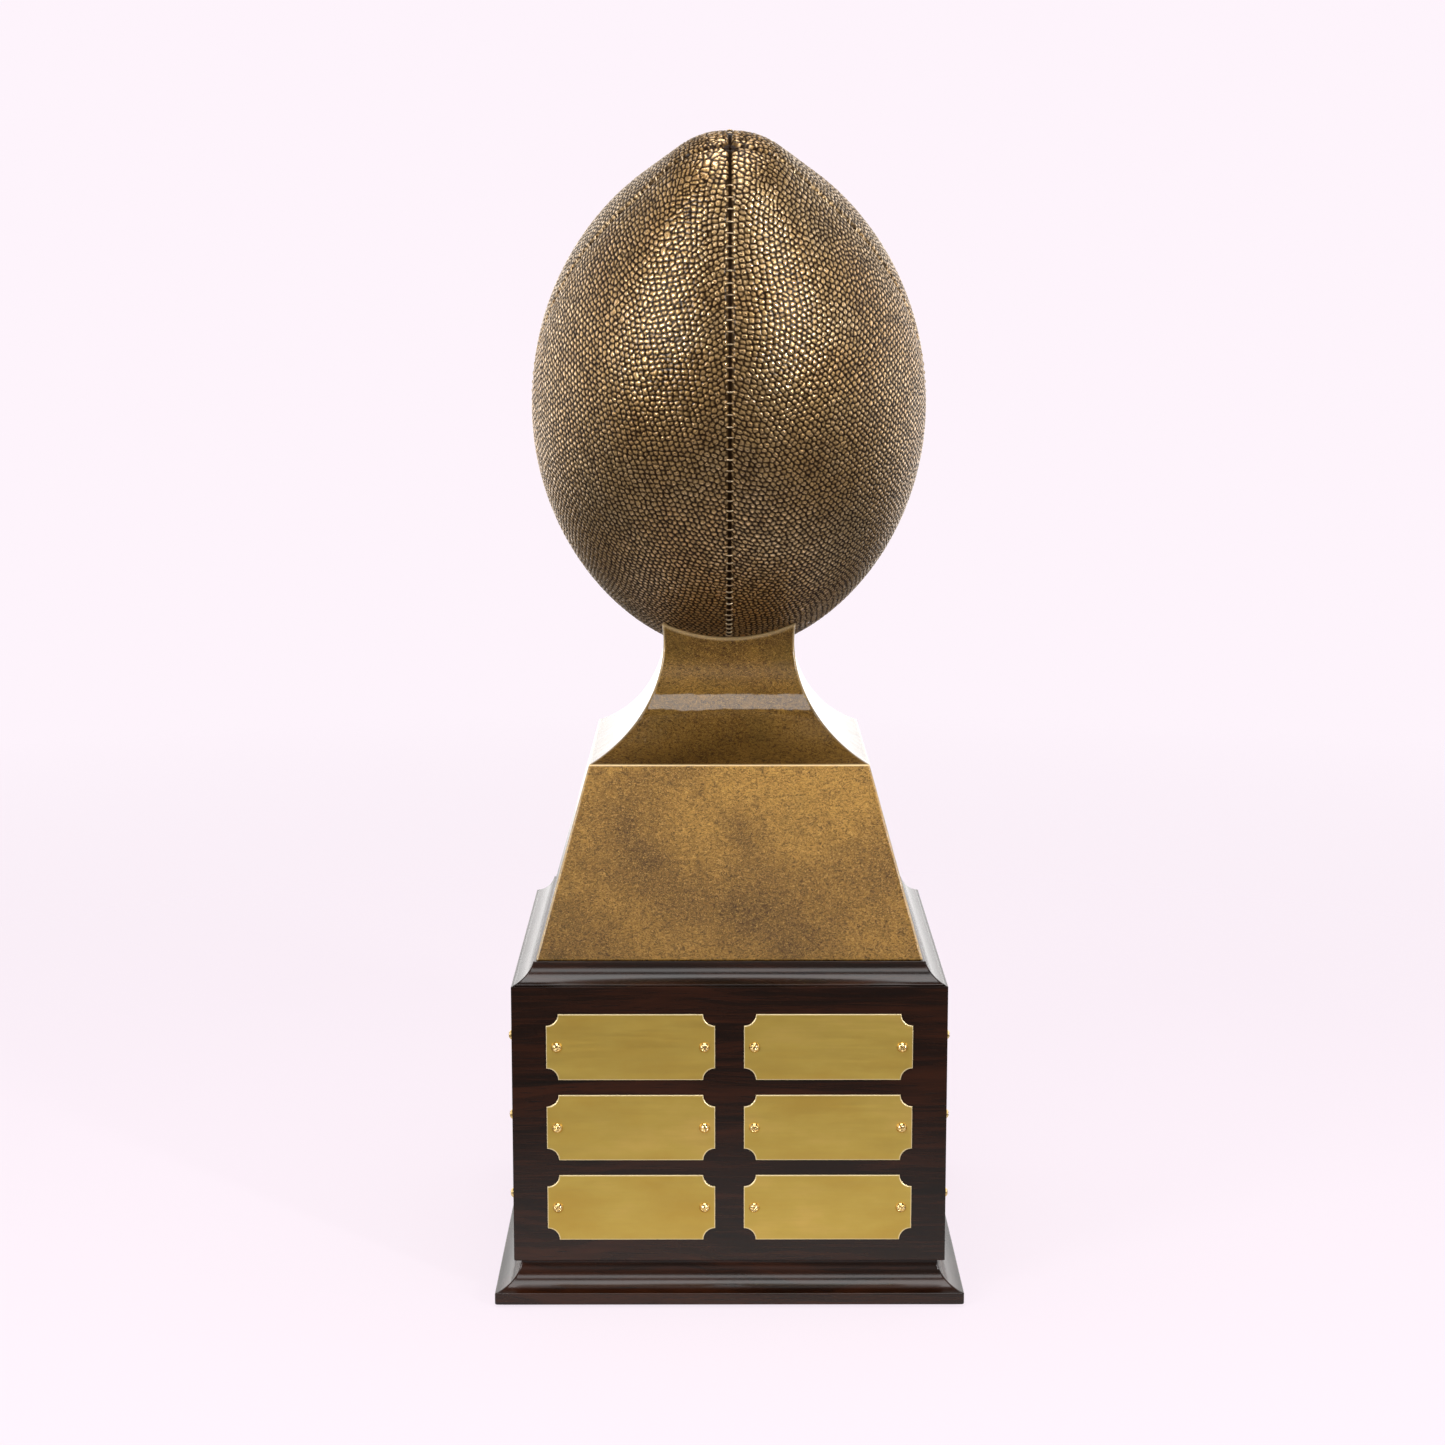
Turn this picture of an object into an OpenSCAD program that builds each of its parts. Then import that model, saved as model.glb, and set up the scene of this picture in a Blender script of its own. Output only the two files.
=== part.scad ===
// Perpetual football trophy: a leaning football on a square coved pedestal, which stands on a
// veneered box with engraving plates on all four sides. Millimetres, +Z up, front towards -Y.
// The origin is the middle of the underside of the felt.

/* [Base] */
// Thickness of the felt pad
felt_t = 1; // [0.5:0.1:3]
// Gap between the edge of the felt and the edge of the bottom board
felt_inset = 3; // [1:0.5:10]
// How far the bottom board stands out past the box on each side
base_overhang = 7; // [4:0.5:15]
// Thickness of the bottom board
base_h = 15; // [12:0.5:25]
// Height of the upright edge below the bottom board's cove
base_edge_h = 4.5; // [2:0.1:7]
// How far the bottom board's cove steps in from its edge
base_cove_in = 9.6; // [7.5:0.1:12]
// Radius of the bottom board's cove
base_cove_r = 10.6; // [10:0.1:20]

/* [Box] */
// Outer width of the square box
box_w = 164; // [142:1:220]
// Height of the box panels
box_h = 107.4; // [104:0.1:160]
// Thickness of the box panels
panel_t = 9.5; // [8:0.5:14]
// Length of the legs of the three-cornered glue blocks
block_leg = 24; // [18:1:30]
// Height of the part of the top board that shows
top_h = 7.7; // [6:0.1:12]
// How deep the top board's rebate sits inside the box
top_rebate = 10; // [6:0.5:14]
// Clearance of the rebate to the panels
top_fit = 0.25; // [0.1:0.05:0.6]
// How far the top board's cove steps in from its edge
top_cove_in = 8; // [6:0.1:10]
// Radius of the top board's cove
top_cove_r = 11.3; // [9:0.1:20]

/* [Engraving plates] */
// Length of a plate
plate_w = 63.5; // [50:0.5:70]
// Height of a plate
plate_h = 25.4; // [20:0.1:31]
// Thickness of a plate
plate_t = 0.8; // [0.5:0.1:1.5]
// Radius of the notch in each corner of a plate
plate_notch_r = 4.5; // [2:0.1:6]
// Gap between the two columns of plates
column_gap = 10.9; // [4:0.1:14]
// Gap between the rows of plates
row_gap = 6; // [3:0.1:9]
// How far the three rows sit below the middle of the panel
rows_drop = 0.9; // [0:0.1:2]

/* [Fasteners] */
// Distance from the end of a plate to its screw
plate_screw_in = 3.95; // [3:0.05:6]
// Diameter of a plate screw's round head
plate_screw_head = 4.1; // [3:0.1:5]
// Height of a plate screw's head
plate_screw_head_h = 1.5; // [1:0.1:2]
// Diameter of a plate screw's shank
plate_screw_d = 1.8; // [1:0.1:2.4]
// Length of a plate screw below its head
plate_screw_len = 8; // [5:0.5:8.5]
// Diameter of the wood screws
wood_screw_d = 4; // [3:0.5:5]
// Length of the bottom board's screws
base_screw_len = 38; // [30:1:50]
// Length of the pedestal's screws
pedestal_screw_len = 32; // [26:1:36]
// Diameter of the centre rod
rod_d = 8; // [6:1:10]
// Width of the rod's nut across its flats
nut_w = 13; // [13:1:17]
// Height of the rod's nut
nut_h = 6.5; // [5:0.5:8]
// Diameter of the rod's washer
washer_d = 24; // [18:1:30]
// Thickness of the rod's washer
washer_t = 1.6; // [1:0.1:3]
// Diameter of the brass insert in the football
insert_d = 12; // [11:0.5:14]
// Length of the brass insert
insert_len = 20; // [14:1:24]

/* [Pedestal] */
// Margin between the pedestal and the edge of the top board's upper face
pedestal_margin = 0.8; // [0.4:0.1:4]
// Height of the pedestal's sloping sides, up to the ridge
ridge_h = 71.5; // [55:0.5:100]
// Width across the ridge
ridge_w = 106.8; // [90:0.2:120]
// Radius of the cove above the ridge
pedestal_cove_r = 47.8; // [40:0.1:60]
// Width of the neck where the cove ends
neck_w = 51.9; // [40:0.1:63]
// Lean of each face of the neck above the cove, in degrees
neck_taper = 8.9; // [2:0.1:12]
// Thickness of the pedestal's casting
pedestal_wall = 6; // [4:0.5:8]

/* [Football] */
// Length of the football from tip to tip
ball_length = 240; // [200:1:300]
// Diameter of the football
ball_dia = 151.5; // [125:0.5:165]
// Angle of the straight shoulders to the football's axis, in degrees
ball_shoulder = 42.6; // [38:0.1:46]
// Radius of the football's rounded tips
ball_tip_r = 31.5; // [20:0.5:36]
// How far the football leans forward, in degrees
ball_lean = 36; // [20:1:45]
// Height of the football's seat above the ridge, on the pedestal's axis
seat_h = 36.6; // [34:0.1:50]
// Place of the seat on the football, as a share of half its length
seat_share = 0.733; // [0.65:0.01:0.78]
// Thickness of the football's casting
ball_wall = 5; // [3:0.5:8]

/* [Hidden] */
$fn = 96;
eps = 0.01;
rows = 3;
columns = 2;
sides = ["front", "right", "back", "left"];
places = ["top_left", "top_right", "middle_left", "middle_right", "bottom_left", "bottom_right"];
corners = ["front_left", "front_right", "back_right", "back_left"];

// Levels, from the bottom up
base_z = felt_t;
box_z = base_z + base_h;
top_z = box_z + box_h;
pedestal_z = top_z + top_h;
ridge_z = pedestal_z + ridge_h;
seat_z = ridge_z + seat_h;
rebate_z = top_z - top_rebate;

// Widths
base_w = box_w + 2 * base_overhang;
pedestal_w = box_w - 2 * top_cove_in - 2 * pedestal_margin;
inner_w = box_w - 2 * panel_t;
block_screw_at = inner_w / 2 - block_leg * 0.3;

// Pedestal screws stand clear of the long faces of the glue blocks, and the bosses reach round them
block_gap = 0.44;
boss_margin = 6.16;
boss_h = 24;
pedestal_screw_at = inner_w / 2 - block_leg / 2 - (wood_screw_d + block_gap) / sqrt(2);
boss_w = pedestal_w / 2 - pedestal_screw_at + boss_margin;

// Plates
row_pitch = plate_h + row_gap;
column_pitch = plate_w + column_gap;
rows_z = box_z + box_h / 2 - rows_drop;
plate_screw_x = plate_w / 2 - plate_screw_in;

// Screws and rod
rod_clearance = 0.5;
screw_clearance = 0.3;
recess_w = 0.5;
rod_top_z = seat_z + insert_len + 6;
rod_stub = 4;
rod_bottom_z = rebate_z - washer_t - nut_h - rod_stub;
insert_z = seat_z + 6;

// Football outline: a large arc, a straight shoulder and a rounded tip that meet smoothly
ball_a = ball_length / 2;
ball_r0 = ball_dia / 2;
tip_c = ball_a - ball_tip_r;
side_r = (tip_c * sin(ball_shoulder) + ball_tip_r - ball_r0 * cos(ball_shoulder))
    / (1 - cos(ball_shoulder));
side_off = side_r - ball_r0;
shoulder_t = side_r * sin(ball_shoulder);
shoulder_r = side_r * cos(ball_shoulder) - side_off;
tip_t = tip_c + ball_tip_r * sin(ball_shoulder);
function ball_radius(t) =
    t < shoulder_t ? sqrt(side_r * side_r - t * t) - side_off
    : t < tip_t ? shoulder_r - (t - shoulder_t) * tan(ball_shoulder)
    : sqrt(ball_tip_r * ball_tip_r - (t - tip_c) * (t - tip_c));

// Middle of the football, so that its surface passes through the seat on the pedestal's axis
seat_t = seat_share * ball_a;
seat_r = ball_radius(seat_t);
ball_y = seat_r * cos(ball_lean) - seat_t * sin(ball_lean);
ball_z = seat_z + seat_t * cos(ball_lean) + seat_r * sin(ball_lean);

// Neck: the cove runs from the ridge to the point where it meets the tapered neck
neck_cove_x = neck_w / 2 + pedestal_cove_r * cos(neck_taper);
neck_cove_z = ridge_z + sqrt(pow(pedestal_cove_r, 2) - pow(neck_cove_x - ridge_w / 2, 2));
neck_z = neck_cove_z - pedestal_cove_r * sin(neck_taper);
neck_top_z = max(neck_z + 5, seat_z + 24);
neck_top_w = neck_w - 2 * (neck_top_z - neck_z) * tan(neck_taper);

// Centre of an arc of radius r through a low outer point and a high inner point of a cove
function cove_centre(low, high, r) =
    let (d = high - low, chord = norm(d), rise = sqrt(r * r - chord * chord / 4))
    (low + high) / 2 + rise * [d[1], -d[0]] / chord;

// Outline of a square board seen from the side, with a cove all round between two heights
module cove_outline(width, z0, edge_z, z1, step, r) {
    low = [width / 2, edge_z];
    high = [width / 2 - step, z1];
    centre = cove_centre(low, high, r);
    difference() {
        polygon([
            [-width / 2, z0], [width / 2, z0], low, high, [-high[0], high[1]], [-low[0], low[1]]
        ]);
        translate(centre) circle(r);
        translate([-centre[0], centre[1]]) circle(r);
    }
}

// The square solid that has the child's outline on all four sides
module four_sided(width) {
    intersection() {
        rotate([90, 0, 0]) linear_extrude(width + 2, center = true) children();
        rotate([90, 0, 90]) linear_extrude(width + 2, center = true) children();
    }
}

// A frustum with a square plan
module square_frustum(w0, z0, w1, z1) {
    four_sided(max(w0, w1)) polygon([[-w0 / 2, z0], [w0 / 2, z0], [w1 / 2, z1], [-w1 / 2, z1]]);
}

// The child at four places round the axis, on the diagonals
module at_corners(x) {
    for (turn = [0 : 90 : 270]) rotate(turn) translate([-x, -x, 0]) children();
}

// Cross recess that is sunk from z = 0 downwards
module cross_recess(d, depth) {
    for (turn = [45, 135]) rotate(turn) translate([0, 0, -depth / 2])
        cube([d, recess_w, depth + 2 * eps], center = true);
}

// Countersunk wood screw, head down at z = 0 and point up
module wood_screw(length) {
    r = wood_screw_d / 2;
    head_h = r;
    difference() {
        union() {
            cylinder(h = head_h, r1 = 2 * r, r2 = r);
            cylinder(h = length - 2 * r, r = r);
            translate([0, 0, length - 2 * r]) cylinder(h = 2 * r, r1 = r, r2 = 0.3);
        }
        mirror([0, 0, 1]) cross_recess(2.4 * r, 0.8 * r);
    }
}

// Hole for a wood screw through a board whose underside is at z = 0
module wood_screw_hole(depth) {
    r = wood_screw_d / 2;
    translate([0, 0, -eps]) {
        cylinder(h = depth + 2 * eps, r = r + screw_clearance);
        cylinder(h = r + screw_clearance, r1 = 2 * r + screw_clearance, r2 = r);
    }
}

// Outline of half the football in its own frame: x is the radius and y runs along its axis
module ball_outline(inset) {
    t1 = (side_r - inset) * sin(ball_shoulder);
    r1 = (side_r - inset) * cos(ball_shoulder) - side_off;
    t2 = tip_c + (ball_tip_r - inset) * sin(ball_shoulder);
    r2 = (ball_tip_r - inset) * cos(ball_shoulder);
    polygon([[0, -t2], [r2, -t2], [r1, -t1], [r1, t1], [r2, t2], [0, t2]]);
    intersection() {
        translate([-side_off, 0]) circle(side_r - inset);
        translate([0, -t1]) square([ball_dia, 2 * t1]);
    }
    intersection() {
        for (end = [1, -1]) translate([0, end * tip_c]) circle(ball_tip_r - inset);
        translate([0, -ball_a]) square([ball_dia, ball_length]);
    }
}

// The football's solid shape, smaller by inset all round
module ball_solid(inset = 0) {
    translate([0, ball_y, ball_z]) rotate([ball_lean, 0, 0]) rotate_extrude() ball_outline(inset);
}

module football_shell() color("#a98a4d") difference() {
    union() {
        difference() {
            ball_solid();
            ball_solid(ball_wall);
        }
        intersection() {
            ball_solid();
            translate([0, 0, seat_z - 20]) cylinder(h = insert_len + 32, d = insert_d + 14);
        }
    }
    translate([0, 0, seat_z - 20]) cylinder(h = insert_z - seat_z + 20 + eps, d = rod_d + 2 * rod_clearance);
    translate([0, 0, insert_z]) cylinder(h = insert_len + 7, d = insert_d);
}

module football_insert() color("#c8a24a") translate([0, 0, insert_z]) difference() {
    cylinder(h = insert_len, d = insert_d);
    translate([0, 0, -eps]) cylinder(h = insert_len + 2 * eps, d = rod_d);
    for (z = [insert_len / 3, 2 * insert_len / 3]) translate([0, 0, z]) rotate_extrude()
        translate([insert_d / 2 - 0.6, -0.6]) square([1, 1.2]);
}

module pedestal_outline() {
    difference() {
        polygon([
            [-pedestal_w / 2, pedestal_z], [pedestal_w / 2, pedestal_z], [ridge_w / 2, ridge_z],
            [neck_w / 2, neck_z], [neck_top_w / 2, neck_top_z], [-neck_top_w / 2, neck_top_z],
            [-neck_w / 2, neck_z], [-ridge_w / 2, ridge_z]
        ]);
        for (side = [1, -1]) translate([side * neck_cove_x, neck_cove_z]) circle(pedestal_cove_r);
    }
}

module pedestal_shell() color("#a8843f") difference() {
    four_sided(pedestal_w) pedestal_outline();
    difference() {
        square_frustum(
            pedestal_w - 2 * pedestal_wall, pedestal_z - eps,
            ridge_w - 2 * pedestal_wall, ridge_z - pedestal_wall
        );
        at_corners(pedestal_w / 2) translate([0, 0, pedestal_z - 1]) cube([boss_w, boss_w, boss_h + 1]);
    }
    ball_solid();
    translate([0, 0, pedestal_z]) cylinder(h = neck_top_z, d = rod_d + 2 * rod_clearance);
    at_corners(pedestal_screw_at) translate([0, 0, pedestal_z - eps])
        cylinder(h = pedestal_screw_len - top_h - top_rebate + 1, d = wood_screw_d);
}

module tie_rod() color("silver") translate([0, 0, rod_bottom_z])
    cylinder(h = rod_top_z - rod_bottom_z, d = rod_d);

module rod_washer() color("silver") translate([0, 0, rebate_z - washer_t]) difference() {
    cylinder(h = washer_t, d = washer_d);
    translate([0, 0, -eps]) cylinder(h = washer_t + 2 * eps, d = rod_d + 2 * screw_clearance);
}

module rod_nut() color("silver") translate([0, 0, rebate_z - washer_t - nut_h]) difference() {
    cylinder(h = nut_h, d = nut_w / cos(30), $fn = 6);
    translate([0, 0, -eps]) cylinder(h = nut_h + 2 * eps, d = rod_d);
}

module pedestal_screws() color("silver")
    at_corners(pedestal_screw_at) translate([0, 0, rebate_z]) wood_screw(pedestal_screw_len);

module top_board() color("#2f1713") difference() {
    union() {
        four_sided(box_w) cove_outline(box_w, top_z, top_z, pedestal_z, top_cove_in, top_cove_r);
        plug_w = inner_w - 2 * top_fit;
        translate([-plug_w / 2, -plug_w / 2, rebate_z]) cube([plug_w, plug_w, top_rebate + 1]);
    }
    translate([0, 0, rebate_z - eps])
        cylinder(h = top_rebate + top_h + 1, d = rod_d + 2 * rod_clearance);
    at_corners(pedestal_screw_at) translate([0, 0, rebate_z]) wood_screw_hole(top_rebate + top_h);
}

// One side of the box, seen from above as a trapezium with mitred ends, at the front
module box_panel() color("#2f1713") difference() {
    w = box_w / 2;
    i = inner_w / 2;
    translate([0, 0, box_z]) linear_extrude(box_h) polygon([[-w, -w], [w, -w], [i, -i], [-i, -i]]);
    at_plates() at_plate_screws() translate([0, 0, -plate_screw_len])
        cylinder(h = plate_screw_len + eps, d = plate_screw_d);
}

// The three-cornered block at the front left
module glue_block() color("#c9a878") difference() {
    i = inner_w / 2;
    translate([0, 0, box_z]) linear_extrude(rebate_z - box_z)
        polygon([[-i, -i], [-i + block_leg, -i], [-i, -i + block_leg]]);
    translate([-block_screw_at, -block_screw_at, box_z - eps])
        cylinder(h = base_screw_len - base_h + 1, d = wood_screw_d);
}

module bottom_board() color("#2f1713") difference() {
    four_sided(base_w)
        cove_outline(base_w, base_z, base_z + base_edge_h, box_z, base_cove_in, base_cove_r);
    at_corners(block_screw_at) translate([0, 0, base_z]) wood_screw_hole(base_h);
}

module base_screws() color("silver")
    at_corners(block_screw_at) translate([0, 0, base_z]) wood_screw(base_screw_len);

module felt_pad() color("#1d3b2a") {
    w = base_w - 2 * felt_inset;
    translate([-w / 2, -w / 2, 0]) cube([w, w, felt_t]);
}

// Centre of one plate on the front panel, in the plane of the panel: x across and z up
function plate_at(i) = [
    (i % columns - (columns - 1) / 2) * column_pitch,
    rows_z + ((rows - 1) / 2 - floor(i / columns)) * row_pitch
];

// The child on the front panel at a plate's centre, with its own z pointing out of the panel
module at_plate(i) {
    translate([plate_at(i)[0], -box_w / 2, plate_at(i)[1]]) rotate([90, 0, 0]) children();
}

module at_plates() {
    for (i = [0 : rows * columns - 1]) at_plate(i) children();
}

module at_plate_screws() {
    for (side = [-1, 1]) translate([side * plate_screw_x, 0, 0]) children();
}

module engraving_plate() color("#b49a4c") difference() {
    linear_extrude(plate_t) difference() {
        square([plate_w, plate_h], center = true);
        for (x = [-1, 1], y = [-1, 1]) translate([x * plate_w / 2, y * plate_h / 2])
            circle(plate_notch_r);
    }
    at_plate_screws() translate([0, 0, -eps])
        cylinder(h = plate_t + 2 * eps, d = plate_screw_d + 0.4);
}

// Round-head screw, its head's seat at z = 0 and its point down
module plate_screw() {
    r = plate_screw_head / 2;
    dome_r = (r * r + pow(plate_screw_head_h, 2)) / (2 * plate_screw_head_h);
    difference() {
        intersection() {
            translate([0, 0, plate_screw_head_h - dome_r]) sphere(dome_r);
            cylinder(h = plate_screw_head_h + 1, r = r);
        }
        translate([0, 0, plate_screw_head_h + eps]) cross_recess(0.6 * plate_screw_head, 0.8);
    }
    translate([0, 0, 1 - plate_screw_len]) cylinder(h = plate_screw_len - 1 + eps, d = plate_screw_d);
    translate([0, 0, -plate_screw_len]) cylinder(h = 1 + eps, d1 = 0.4, d2 = plate_screw_d);
}

module plate_screws() color("#d8b45a")
    at_plates() at_plate_screws() translate([0, 0, plate_t]) plate_screw();

football_shell();
football_insert();
pedestal_shell();
tie_rod();
rod_washer();
rod_nut();
pedestal_screws();
top_board();
bottom_board();
base_screws();
felt_pad();
for (i = [0 : len(sides) - 1]) rotate(90 * i) {
    box_panel();
    glue_block();
    plate_screws();
    for (k = [0 : len(places) - 1])
        at_plate(k) engraving_plate();
}
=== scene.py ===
"""Looks of the football trophy: a pebbled gold football, a gold-leafed pedestal, a veneered box and
brass engraving plates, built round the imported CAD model. Metres, +Z up, front towards -Y."""

import math

import bmesh
import bpy
import numpy as np
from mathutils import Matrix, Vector


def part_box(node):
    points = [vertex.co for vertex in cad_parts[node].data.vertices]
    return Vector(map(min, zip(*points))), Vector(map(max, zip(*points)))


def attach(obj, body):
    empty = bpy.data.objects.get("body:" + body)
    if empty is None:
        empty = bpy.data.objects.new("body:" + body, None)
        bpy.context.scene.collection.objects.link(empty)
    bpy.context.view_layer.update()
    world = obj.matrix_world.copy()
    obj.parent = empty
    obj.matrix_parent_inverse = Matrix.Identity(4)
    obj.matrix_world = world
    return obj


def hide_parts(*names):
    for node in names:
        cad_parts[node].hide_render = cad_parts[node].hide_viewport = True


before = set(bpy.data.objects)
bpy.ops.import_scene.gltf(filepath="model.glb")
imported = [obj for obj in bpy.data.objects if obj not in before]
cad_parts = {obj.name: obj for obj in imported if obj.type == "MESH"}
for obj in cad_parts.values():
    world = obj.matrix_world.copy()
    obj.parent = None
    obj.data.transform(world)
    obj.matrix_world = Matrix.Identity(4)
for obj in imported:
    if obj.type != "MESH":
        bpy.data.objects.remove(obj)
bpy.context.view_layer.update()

MM = 0.001
SIDES = ("front", "right", "back", "left")
PLACES = ("top_left", "top_right", "middle_left", "middle_right", "bottom_left", "bottom_right")

# Football, with the same driving sizes as the CAD
BALL_LENGTH = 240 * MM
BALL_DIA = 151.5 * MM
SHOULDER = math.radians(42.6)
TIP_R = 31.5 * MM
LEAN = math.radians(36)
BALL_LOW, BALL_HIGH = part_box("football_shell")
BALL_CENTRE = np.array((BALL_LOW + BALL_HIGH) / 2)
BALL_AXIS = np.array([0, -math.sin(LEAN), math.cos(LEAN)])
BALL_FRONT = np.array([0, -math.cos(LEAN), -math.sin(LEAN)])
BALL_SIDE = np.array([1.0, 0, 0])

# Skin of the football
PANEL_WALL = 4 * MM
GROOVE_DEPTH = 1.1 * MM
GROOVE_FLAT = 0.6 * MM
GROOVE_EDGE = 1.35 * MM
PILLOW_DEPTH = 0.5 * MM
PILLOW_REACH = 6 * MM
PEBBLE_PITCH = 2.25 * MM
PEBBLE_ROW = 1.95 * MM
PEBBLE_H = 0.46 * MM
PEBBLE_SHOULDER = 0.95 * MM  # a pebble is flat on top further than this from its border
PEBBLE_GAP = (0.26 * MM, 0.84 * MM)  # the dark colour between pebbles fades out over this
PEBBLE_EDGE = (0.7 * MM, 1.1 * MM)  # pebbles start at this distance from the middle of a seam
DIMPLE_DEPTH = 0.16 * MM
DIMPLE_SPAN = (0.62 * MM, 0.20 * MM)
DIMPLE_DARK = 0.72
DIMPLE_TONE = 0.45  # pebbles with a higher tone have a dimple
SEAM_DARK = (0.75 * MM, 1.15 * MM)
TIP_KNOT = 1.9 * MM
PANEL_TRIANGLES = 176_000
LINING_COLUMNS = 7
STITCH_PITCH = 4.3 * MM
STITCH_START = 17 * MM
STITCH_HALF = 0.30 * MM
STITCH_LOW, STITCH_HIGH = -1.0 * MM, -0.30 * MM
LACES = 8
LACE_PITCH = 11.5 * MM

# Pedestal
PED_LOW, PED_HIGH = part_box("pedestal_shell")
PED_BASE = PED_HIGH[0]
RIDGE_H = 71.5 * MM
RIDGE_HALF = 53.4 * MM
COVE_R = 47.8 * MM
NECK_HALF = 25.95 * MM
NECK_TAPER = math.radians(8.9)
NECK_CORNER = 0.9 * MM
JOINT_GAP = 0.35 * MM
# How much painted shade darkens the neck and cove under the football, and how much the leaf darkens
# towards the foot
PAINTED_NECK_SHADE, FOOT_DARKENING = 0.55, 0.5

# Boards and plates
TOP_COVE_IN, TOP_COVE_R = 8 * MM, 11.3 * MM
BASE_EDGE_H, BASE_COVE_IN, BASE_COVE_R = 4.5 * MM, 9.6 * MM, 10.6 * MM
PLATE_NOTCH_R = 4.5 * MM
PLATE_SCREW_IN = 3.95 * MM
PLATE_CHAMFER = 0.18 * MM
SCREW_HEAD_R, SCREW_HEAD_H = 2.05 * MM, 1.5 * MM
RECESS_DEPTH = 0.6 * MM

# Distance of the extra row of points that keeps a rounded edge crisp
SUPPORT = 0.35 * MM


# ---------------------------------------------------------------- shared tools

def smoothstep(low, high, x):
    """0 at low and 1 at high, with a soft start and end; low may be the larger one."""
    t = np.clip((x - low) / (high - low), 0, 1)
    return t * t * (3 - 2 * t)


def add_mesh(name, points, faces, material, nodes, attributes=None, smooth=True):
    """A new piece that rides on the root, stands for some CAD nodes and takes a material slot."""
    mesh = bpy.data.meshes.new(name)
    mesh.from_pydata([tuple(p) for p in np.asarray(points, float)], [], faces)
    mesh.polygons.foreach_set("use_smooth", [smooth] * len(mesh.polygons))
    for key, values in (attributes or {}).items():
        layer = mesh.attributes.new(key, "FLOAT", "POINT")
        layer.data.foreach_set("value", np.asarray(values, np.float32))
    mesh.materials.append(material)
    mesh.update()
    piece = bpy.data.objects.new(name, mesh)
    bpy.context.scene.collection.objects.link(piece)
    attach(piece, "root")
    if nodes:
        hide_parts(*nodes)
    return piece


def grid_faces(rows, columns, start=0, closed=False):
    """Quads of a grid of points stored row by row; closed joins the last column to the first."""
    faces = []
    last = columns if closed else columns - 1
    for i in range(rows - 1):
        for j in range(last):
            a = start + i * columns + j
            b = start + i * columns + (j + 1) % columns
            faces.append((a, b, b + columns, a + columns))
    return faces


def fillet(points, radii, steps=4):
    """A 2D line through points whose corners are rounded, each by its own radius."""
    points = [np.asarray(p, float) for p in points]
    line = [points[0]]
    for before, at, after, radius in zip(points, points[1:], points[2:], radii[1:-1]):
        if radius <= 0:
            line.append(at)
            continue
        u, v = before - at, after - at
        u, v = u / np.linalg.norm(u), v / np.linalg.norm(v)
        half = math.acos(np.clip(u @ v, -1, 1)) / 2
        reach = radius / math.tan(half)
        start, end = at + u * reach, at + v * reach
        for k in range(steps + 1):
            t = k / steps
            line.append((1 - t) ** 2 * start + 2 * t * (1 - t) * at + t * t * end)
    line.append(points[-1])
    return np.array(line)


def supported(line):
    """The line with a point close to both ends of each long stretch, to keep roundings crisp."""
    points = [line[0]]
    for start, end in zip(line, line[1:]):
        length = np.linalg.norm(end - start)
        if length > 8 * SUPPORT:
            inset = (end - start) * SUPPORT / length
            points += [start + inset, end - inset]
        points.append(end)
    return np.array(points)


def cove_line(low, high, radius, steps=14):
    """Points of a concave arc from a low outer point to a high inner point."""
    low, high = np.asarray(low, float), np.asarray(high, float)
    d = high - low
    chord = np.linalg.norm(d)
    rise = math.sqrt(radius ** 2 - chord ** 2 / 4)
    centre = (low + high) / 2 + rise * np.array([d[1], -d[0]]) / chord
    first = math.atan2(*(low - centre)[::-1])
    last = math.atan2(*(high - centre)[::-1])
    turn = (last - first + math.pi) % (2 * math.pi) - math.pi
    angles = first + turn * np.linspace(0, 1, steps + 1)
    return centre + radius * np.stack([np.cos(angles), np.sin(angles)], 1)


def square_ring(half, corner, side_steps, corner_steps):
    """Points of a square with rounded corners, with a point close to both ends of each side."""
    ring = []
    flat = half - corner
    for k in range(4):
        turn = k * math.pi / 2
        c, s = math.cos(turn), math.sin(turn)
        inside = np.linspace(-flat + SUPPORT, flat - SUPPORT, side_steps - 1)
        local = [(x, -half) for x in (-flat, *inside)]
        for j in range(corner_steps):
            a = -math.pi / 2 + (math.pi / 2) * j / corner_steps
            local.append((flat + corner * math.cos(a), -flat + corner * math.sin(a)))
        ring += [(c * x - s * y, s * x + c * y) for x, y in local]
    return np.array(ring)


def square_loft(profile, corner, side_steps=24, corner_steps=5):
    """Points and faces of a closed square solid, from a line of (half width, height)."""
    rows = []
    for half, z in profile:
        ring = square_ring(half, min(corner, half / 2), side_steps, corner_steps)
        rows.append(np.column_stack([ring, np.full(len(ring), z)]))
    columns = len(rows[0])
    points = np.concatenate(rows)
    faces = grid_faces(len(rows), columns, closed=True)
    low, high = len(points), len(points) + 1
    points = np.vstack([points, [0, 0, profile[0][1]], [0, 0, profile[-1][1]]])
    top = (len(rows) - 1) * columns
    for j in range(columns):
        k = (j + 1) % columns
        faces.append((k, j, low))
        faces.append((top + j, top + k, high))
    return points, faces


# ---------------------------------------------------------------- the football's surface

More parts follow.
